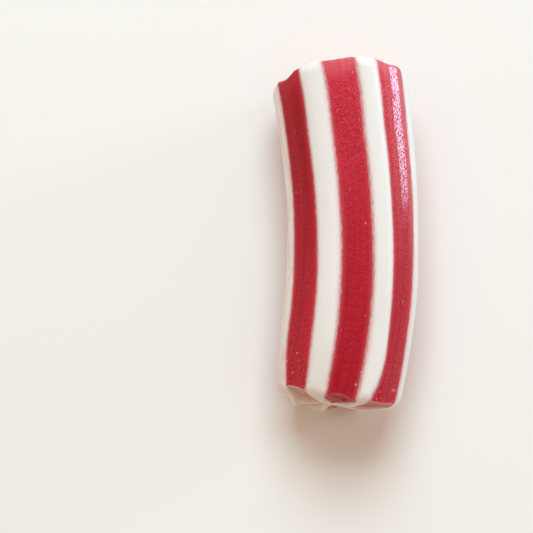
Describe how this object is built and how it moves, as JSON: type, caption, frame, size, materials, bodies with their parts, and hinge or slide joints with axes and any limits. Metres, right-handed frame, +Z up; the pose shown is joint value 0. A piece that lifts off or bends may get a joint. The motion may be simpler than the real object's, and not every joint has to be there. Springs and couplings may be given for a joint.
{
  "type": "candy twist",
  "caption": "Short bowed stick of pulled sugar candy with red and white stripes running its length, ribbed like a pinwheel at both nipped ends.",
  "frame": {"origin": "on the surface the candy lies on, under the middle of its bounding box", "axes": "+Y along the candy's length towards its far end, +X to the side that it bows towards, +Z up"},
  "size_m": [0.016, 0.0384, 0.0136],
  "materials": {
    "white_candy": "satin",
    "red_candy": "satin"
  },
  "bodies": {
    "root": {"white_ribs": "white_candy", "red_wedge_top": "red_candy", "red_wedge_right": "red_candy", "red_wedge_lower_right": "red_candy", "red_wedge_bottom": "red_candy", "red_wedge_lower_left": "red_candy", "red_wedge_left": "red_candy"}
  },
  "joints": []
}
